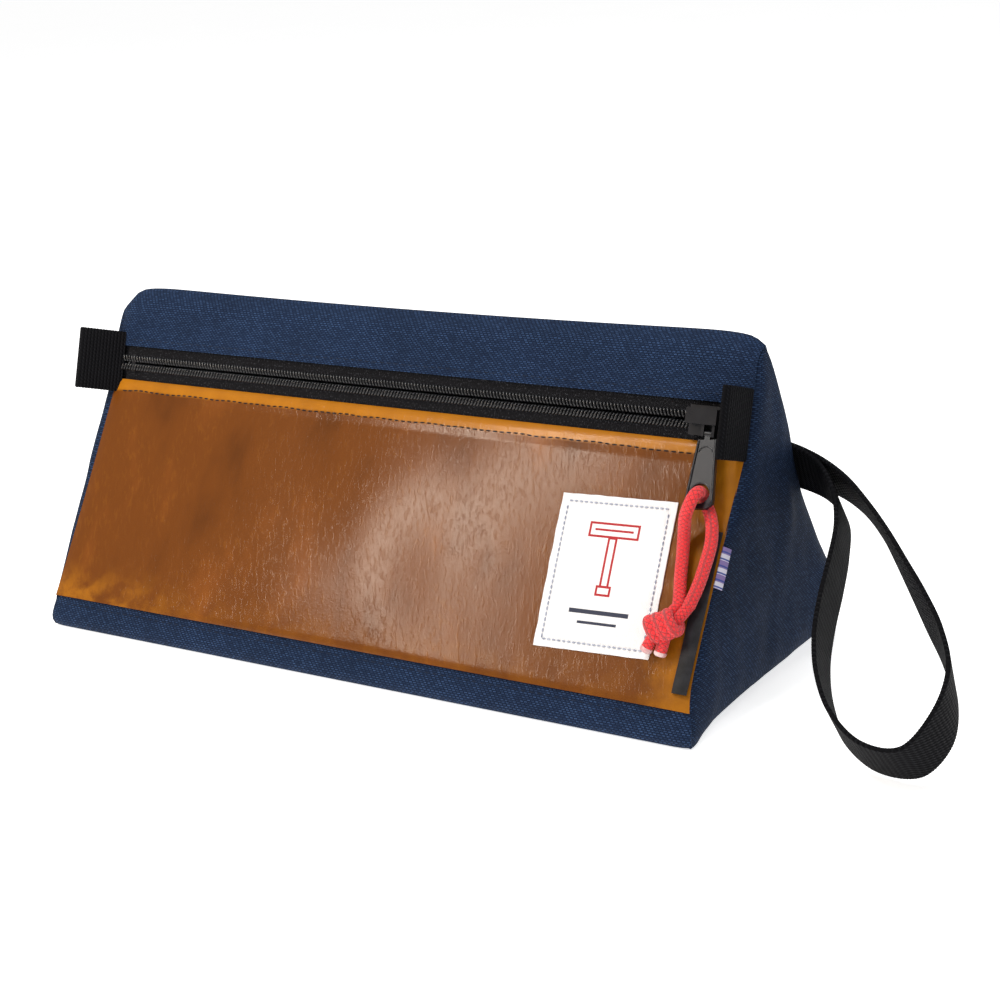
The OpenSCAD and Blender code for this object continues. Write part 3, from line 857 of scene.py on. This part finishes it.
class KIT_OT_zip(bpy.types.Operator):
    """Make the zip's tapes, its two rows of coil and its end stops"""
    bl_idname = "kit.zip"
    bl_label = "Zip"

    def execute(self, context):
        pitch = context.scene.kit_sizes.coil_pitch / MM
        for way, row in ((-1, "lower"), (1, "upper")):
            def place(a, b, way=way):
                s = way * (0.36 + 8.0 * (b if way > 0 else 1 - b))
                x = -126.2 + 252.4 * a
                h = -1.6 + 0.08 * noise.noise(Vector((x / 12, s, 0)))
                return zip_plane(x, s, h), (x, s)
            sheet_piece(f"tape_{row}", place, 160, 8, "tape", [f"zip_tape_{row}"], "zip_tape", 0.6)
            turns = int(250 / pitch)
            line = []
            for n in range(turns * 10):
                w = 2 * math.pi * n / 10
                across, high = (max(-1.0, min(1.0, 1.45 * q)) for q in (math.cos(w), math.sin(w)))
                line.append(zip_plane(-125.4 + pitch * (n / 10 + 0.5 * (way > 0)) - 0.3 * math.cos(w),
                                      way * (1.62 + 1.0 * across), -0.3 + 0.9 * high))
            piece(f"coil_{row}", *tube(line, 0.30, 6), "coil", "bag", [f"zip_coil_{row}"], "zip_coil", 60)
        bars = []
        for x in (-120.0, 122.2):
            for k in range(5):
                line = [zip_plane(x + 0.26 * k - 0.5, s, 0.25 - 0.05 * s * s / 3)
                        for s in np.linspace(-3.3, 3.3, 9)]
                bars.append(tube(line, 0.33, 7))
        piece("zip_end_stops", *merged(bars), "thread_black", "bag", ["zip_stops"], "black_thread", 60)
        return {"FINISHED"}


# ---------------------------------------------------------------- webbing

# The strap's course from its seam round the loop and back, each point with the way of its width
STRAP = [((123.2, 23.6, 64.9), STRAP_WIDTH_WAY), ((127.4, 25.4, 65.5), STRAP_WIDTH_WAY),
         ((139.9, 21.3, 62.8), (-.04, -.53, .85)),
         ((148.9, 12.5, 57.5), (-.06, -.58, .81)), ((153.6, 1.8, 50.1), (.01, -.57, .82)),
         ((155.8, -9.4, 42.2), (0, -.58, .82)), ((157.4, -20.6, 34.2), (-.01, -.58, .81)),
         ((160.1, -31.6, 26.3), (-.02, -.59, .81)), ((165.2, -42, 18.9), (-.03, -.61, .79)),
         ((173.1, -51.1, 12.3), (-.04, -.63, .78)), ((184.8, -57.5, 8.2), (-.07, -.67, .74)),
         ((197.2, -57.8, 9.2), (-.11, -.69, .72)), ((203.1, -49.2, 17), (-.09, -.61, .78)),
         ((202.2, -38.2, 25.5), (.04, -.57, .82)), ((196.1, -28.1, 32.7), (.08, -.53, .84)),
         ((188, -18.9, 39.1), (.07, -.51, .85)), ((179.6, -9.8, 45.1), (.01, -.53, .85)),
         ((171.1, -.6, 50.9), (-.04, -.56, .83)), ((162.2, 8.4, 56.3), (-.11, -.59, .80)),
         ((152.2, 16.7, 61), (-.13, -.60, .79)), ((140.6, 23.2, 64.1), (-.11, -.58, .81)),
         ((127.7, 26.9, 65.4), (-.02, -.47, .88)), ((123.2, 25.1, 64.9), (-.02, -.47, .88))]


class KIT_OT_webbing(bpy.types.Operator):
    """Make the wrist strap, its sewn-in ends and the tab at each end of the zip"""
    bl_idname = "kit.webbing"
    bl_label = "Strap and tabs"

    def execute(self, context):
        path = smooth_line([p for p, _ in STRAP], 28)
        wide = smooth_line([n for _, n in STRAP], 28)
        strap = piece("strap_webbing", *band(path, wide, STRAP_HALF_W, STRAP_HALF_T, 0.10), "strap", None,
                      ["wrist_strap"], "black_webbing", 50)
        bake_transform(strap)
        root = [np.array([x, 22.6, 64.6]) for x in np.linspace(113.5, 121.8, 12)]
        piece("strap_sewn_ends", *band(root, [STRAP_WIDTH_WAY] * len(root), 9.2, 1.3), "strap", "bag",
              ["strap_anchor"], "black_webbing", 50)
        for way, side, lean, lift, tip in ((-1, "left", 135, 0.0, 15.4), (1, "right", 97, 1.6, 13.9)):
            d = math.radians(lean)
            out = (math.cos(d), math.sin(d))
            line = []
            fold = 0.08
            for t in np.linspace(-1, 1, 61):
                face = 1 if t > 0 else -1
                reach = tip - (tip + 1.3) * max(abs(t), fold)
                if abs(t) < fold:
                    reach += 0.9 * math.cos(t / fold * math.pi / 2)
                gap = face * (0.75 * min(1.0, abs(t) / fold) + 0.25 * math.sin(abs(t) * 3))
                x = way * HALF + out[0] * reach + out[1] * gap
                line.append((x, out[1] * reach - out[0] * gap + lift))
            flap = [zip_plane(x, 0.0, h) for x, h in line]
            wide = [(0, *ZIP_UP)] * len(flap)
            piece(f"tab_{side}", *band(flap, wide, TAB_HALF_W, TAB_HALF_T, 0.06), "tab", "bag",
                  [f"zip_tab_{side}"], "black_webbing", 50)
        return {"FINISHED"}


# ---------------------------------------------------------------- trim

class KIT_OT_trim(bpy.types.Operator):
    """Make the front label, the satin tag, the striped flag and every row of stitches"""
    bl_idname = "kit.trim"
    bl_label = "Label, tags and stitching"

    def execute(self, context):
        thread = context.scene.kit_sizes.thread / MM


        def on_label(u, v, h=0.0):
            u, v = u - LABEL_W / 2, v - LABEL_H / 2
            across, up = math.cos(LABEL_TURN), math.sin(LABEL_TURN)
            return leather(LABEL_X + u * across - v * up, LABEL_S + u * up + v * across, 0.78 + h)

        def label(a, b):
            u, v = LABEL_W * a, LABEL_H * b
            rim = min(u, LABEL_W - u, v, LABEL_H - v)
            u += 0.22 * noise.noise(Vector((v / 5, a, 4))) if min(a, 1 - a) < 0.02 else 0
            v += 0.22 * noise.noise(Vector((u / 5, b, 8))) if min(b, 1 - b) < 0.02 else 0
            return on_label(u, v, -0.16 if 1.7 < rim < 3.0 else 0), (LABEL_W * a, LABEL_H * b)

        sheet_piece("label_cloth", label, 60, 74, "label", ["front_label"], "label_white", 0.55)
        u0, u1 = LABEL_STITCH_IN, LABEL_W - LABEL_STITCH_IN
        v0, v1 = LABEL_STITCH_IN, LABEL_H - LABEL_STITCH_IN
        sides = [(u1 - u0, lambda d, w, v=v: on_label(u0 + d, v + w)) for v in (v0, v1)]
        sides += [(v1 - v0, lambda d, w, u=u: on_label(u + w, v0 + d)) for u in (u0, u1)]
        off = np.array([0, -LEATHER_UP[1], LEATHER_UP[0]])
        rows = [stitches(side, 1.75, 1.25, thread * 0.42, off) for side in sides]
        piece("label_stitches", *merged(rows), "thread_grey", "bag", ["label_stitching"], "grey_thread", 60)

        hem = (238, lambda d, w: leather(-123 + d, LEATHER_S - HEM_STITCH_IN + w, 0.35))
        row = stitches(hem, 2.6, 2.35, thread * 0.45, off, wander=0.5)
        piece("leather_stitches", *row, "thread_black", "bag", ["leather_topstitch"], "black_thread", 60)
        band_row = (244, lambda d, w: (-122 + d, -57.9, 8.4 + w))
        row = stitches(band_row, 3.0, 2.3, thread * 0.4, np.array([0, -0.99, 0.136]), wander=0.2)
        piece("band_stitches", *row, "thread_navy", "bag", ["band_topstitch"], "navy_thread", 60)
        face = np.array([0, -ZIP_UP[1], ZIP_UP[0]])
        zip_row = (240, lambda d, w: zip_plane(-122 + d, ZIP_GAP / 2 + 2.4 + w, 0.1))
        row = stitches(zip_row, 3.0, 2.3, thread * 0.4, face, wander=0.2)
        piece("zip_stitches", *row, "thread_navy", "bag", ["zip_topstitch"], "navy_thread", 60)

        def tag(a, b):
            x, s = 122.0 + 4.9 * a, 5 + 51 * b
            ripple = 0.25 * math.sin(math.pi * a) + 0.3 * noise.noise(Vector((x / 9, s / 9, 6)))
            return flat_leather(x, s, 1.05 + ripple), (x, s)

        sheet_piece("satin_tag", tag, 8, 50, "satin", ["side_tag"], "black_satin", 0.6)

        def flag(a, b):
            s = 39 + 13 * b
            y, z = flat_leather(0, s, -0.3 - 3.2 * a)[1:]
            front, back = end_edges(z)
            p = end_point(1, (y - front) / (back - front), z / END_TOP, 0.55)
            return (max(p[0], HALF + 0.2), p[1], p[2]), (5 * a, 13 * b)

        sheet_piece("striped_flag", flag, 8, 20, "stripe", ["side_flag"], "striped_tape", 0.35)
        return {"FINISHED"}


# ---------------------------------------------------------------- slider

class KIT_OT_slider(bpy.types.Operator):
    """Give the slider, its lock pin and its pull their finishes"""
    bl_idname = "kit.slider"
    bl_label = "Slider and pull"

    def execute(self, context):
        for node, finish in (("slider_body", "enamel"), ("slider_cap", "enamel"), ("lock_pin", "steel"),
                             ("pull_tab", "enamel")):
            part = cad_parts[node]
            part.data.materials.clear()
            part.data.materials.append(finish_of(finish))
            edge = part.modifiers.new("Edge", "BEVEL")
            edge.width, edge.segments, edge.limit_method = 0.00018, 2, "ANGLE"
        pivot = zip_plane(116.9, -4.1, 4.15)

        def on_pull(x, s, h):
            x, s = (x * math.cos(PULL_TURN) - s * math.sin(PULL_TURN),
                    x * math.sin(PULL_TURN) + s * math.cos(PULL_TURN))
            cos, sin = math.cos(PULL_TILT), math.sin(PULL_TILT)
            return pivot + np.array([x, s * cos - h * sin, s * sin + h * cos])

        rims = []
        for way in (-1, 1):
            line = [(2.75, -2.4), (2.9, -4), (4.15, -20.4), (4.15, -22.3), (3.3, -23.7)]
            rims.append(tube(smooth_line([on_pull(way * x, s, 0.72) for x, s in line], 5), 0.42, 8))
        arch = [on_pull(2.2 * math.cos(w), -6.2 + 1.9 * math.sin(w), 0.68)
                for w in np.linspace(0.15, math.pi - 0.15, 15)]
        foot = [on_pull(3.3 * math.cos(w), -19.9 + 3.6 * math.sin(w), 0.68)
                for w in np.linspace(0.4, math.pi - 0.4, 15)]
        rims += [tube(arch, 0.26, 8), tube(foot, 0.3, 8)]
        piece("pull_raised_rims", *merged(rims), "enamel", "pull", (), "black_enamel", 60)
        return {"FINISHED"}


# ---------------------------------------------------------------- panel and registration

STEPS = (KIT_OT_stage, KIT_OT_cord, KIT_OT_shell, KIT_OT_inside, KIT_OT_zip, KIT_OT_webbing,
         KIT_OT_trim, KIT_OT_slider)


class KIT_PT_bag(bpy.types.Panel):
    """The bag's pieces, in the order in which they are made"""
    bl_idname = "KIT_PT_bag"
    bl_label = "Shaving kit bag"
    bl_space_type = "VIEW_3D"
    bl_region_type = "UI"
    bl_category = "Kit bag"

    def draw(self, context):
        for group in (context.scene.kit_sizes, context.scene.kit_colours):
            for key in group.__annotations__:
                self.layout.prop(group, key)
        for step in STEPS:
            self.layout.operator(step.bl_idname)


CLASSES = (KitSizes, KitColours, *STEPS, KIT_PT_bag)


def register():
    for item in CLASSES:
        bpy.utils.register_class(item)
    bpy.types.Scene.kit_sizes = bpy.props.PointerProperty(type=KitSizes)
    bpy.types.Scene.kit_colours = bpy.props.PointerProperty(type=KitColours)


def unregister():
    del bpy.types.Scene.kit_sizes, bpy.types.Scene.kit_colours
    for item in reversed(CLASSES):
        bpy.utils.unregister_class(item)


def main():
    register()
    bpy.ops.kit.stage()
    bpy.ops.kit.cord()
    bpy.ops.kit.shell()
    bpy.ops.kit.inside()
    bpy.ops.kit.zip()
    bpy.ops.kit.webbing()
    bpy.ops.kit.trim()
    bpy.ops.kit.slider()


if __name__ == "__main__":
    main()
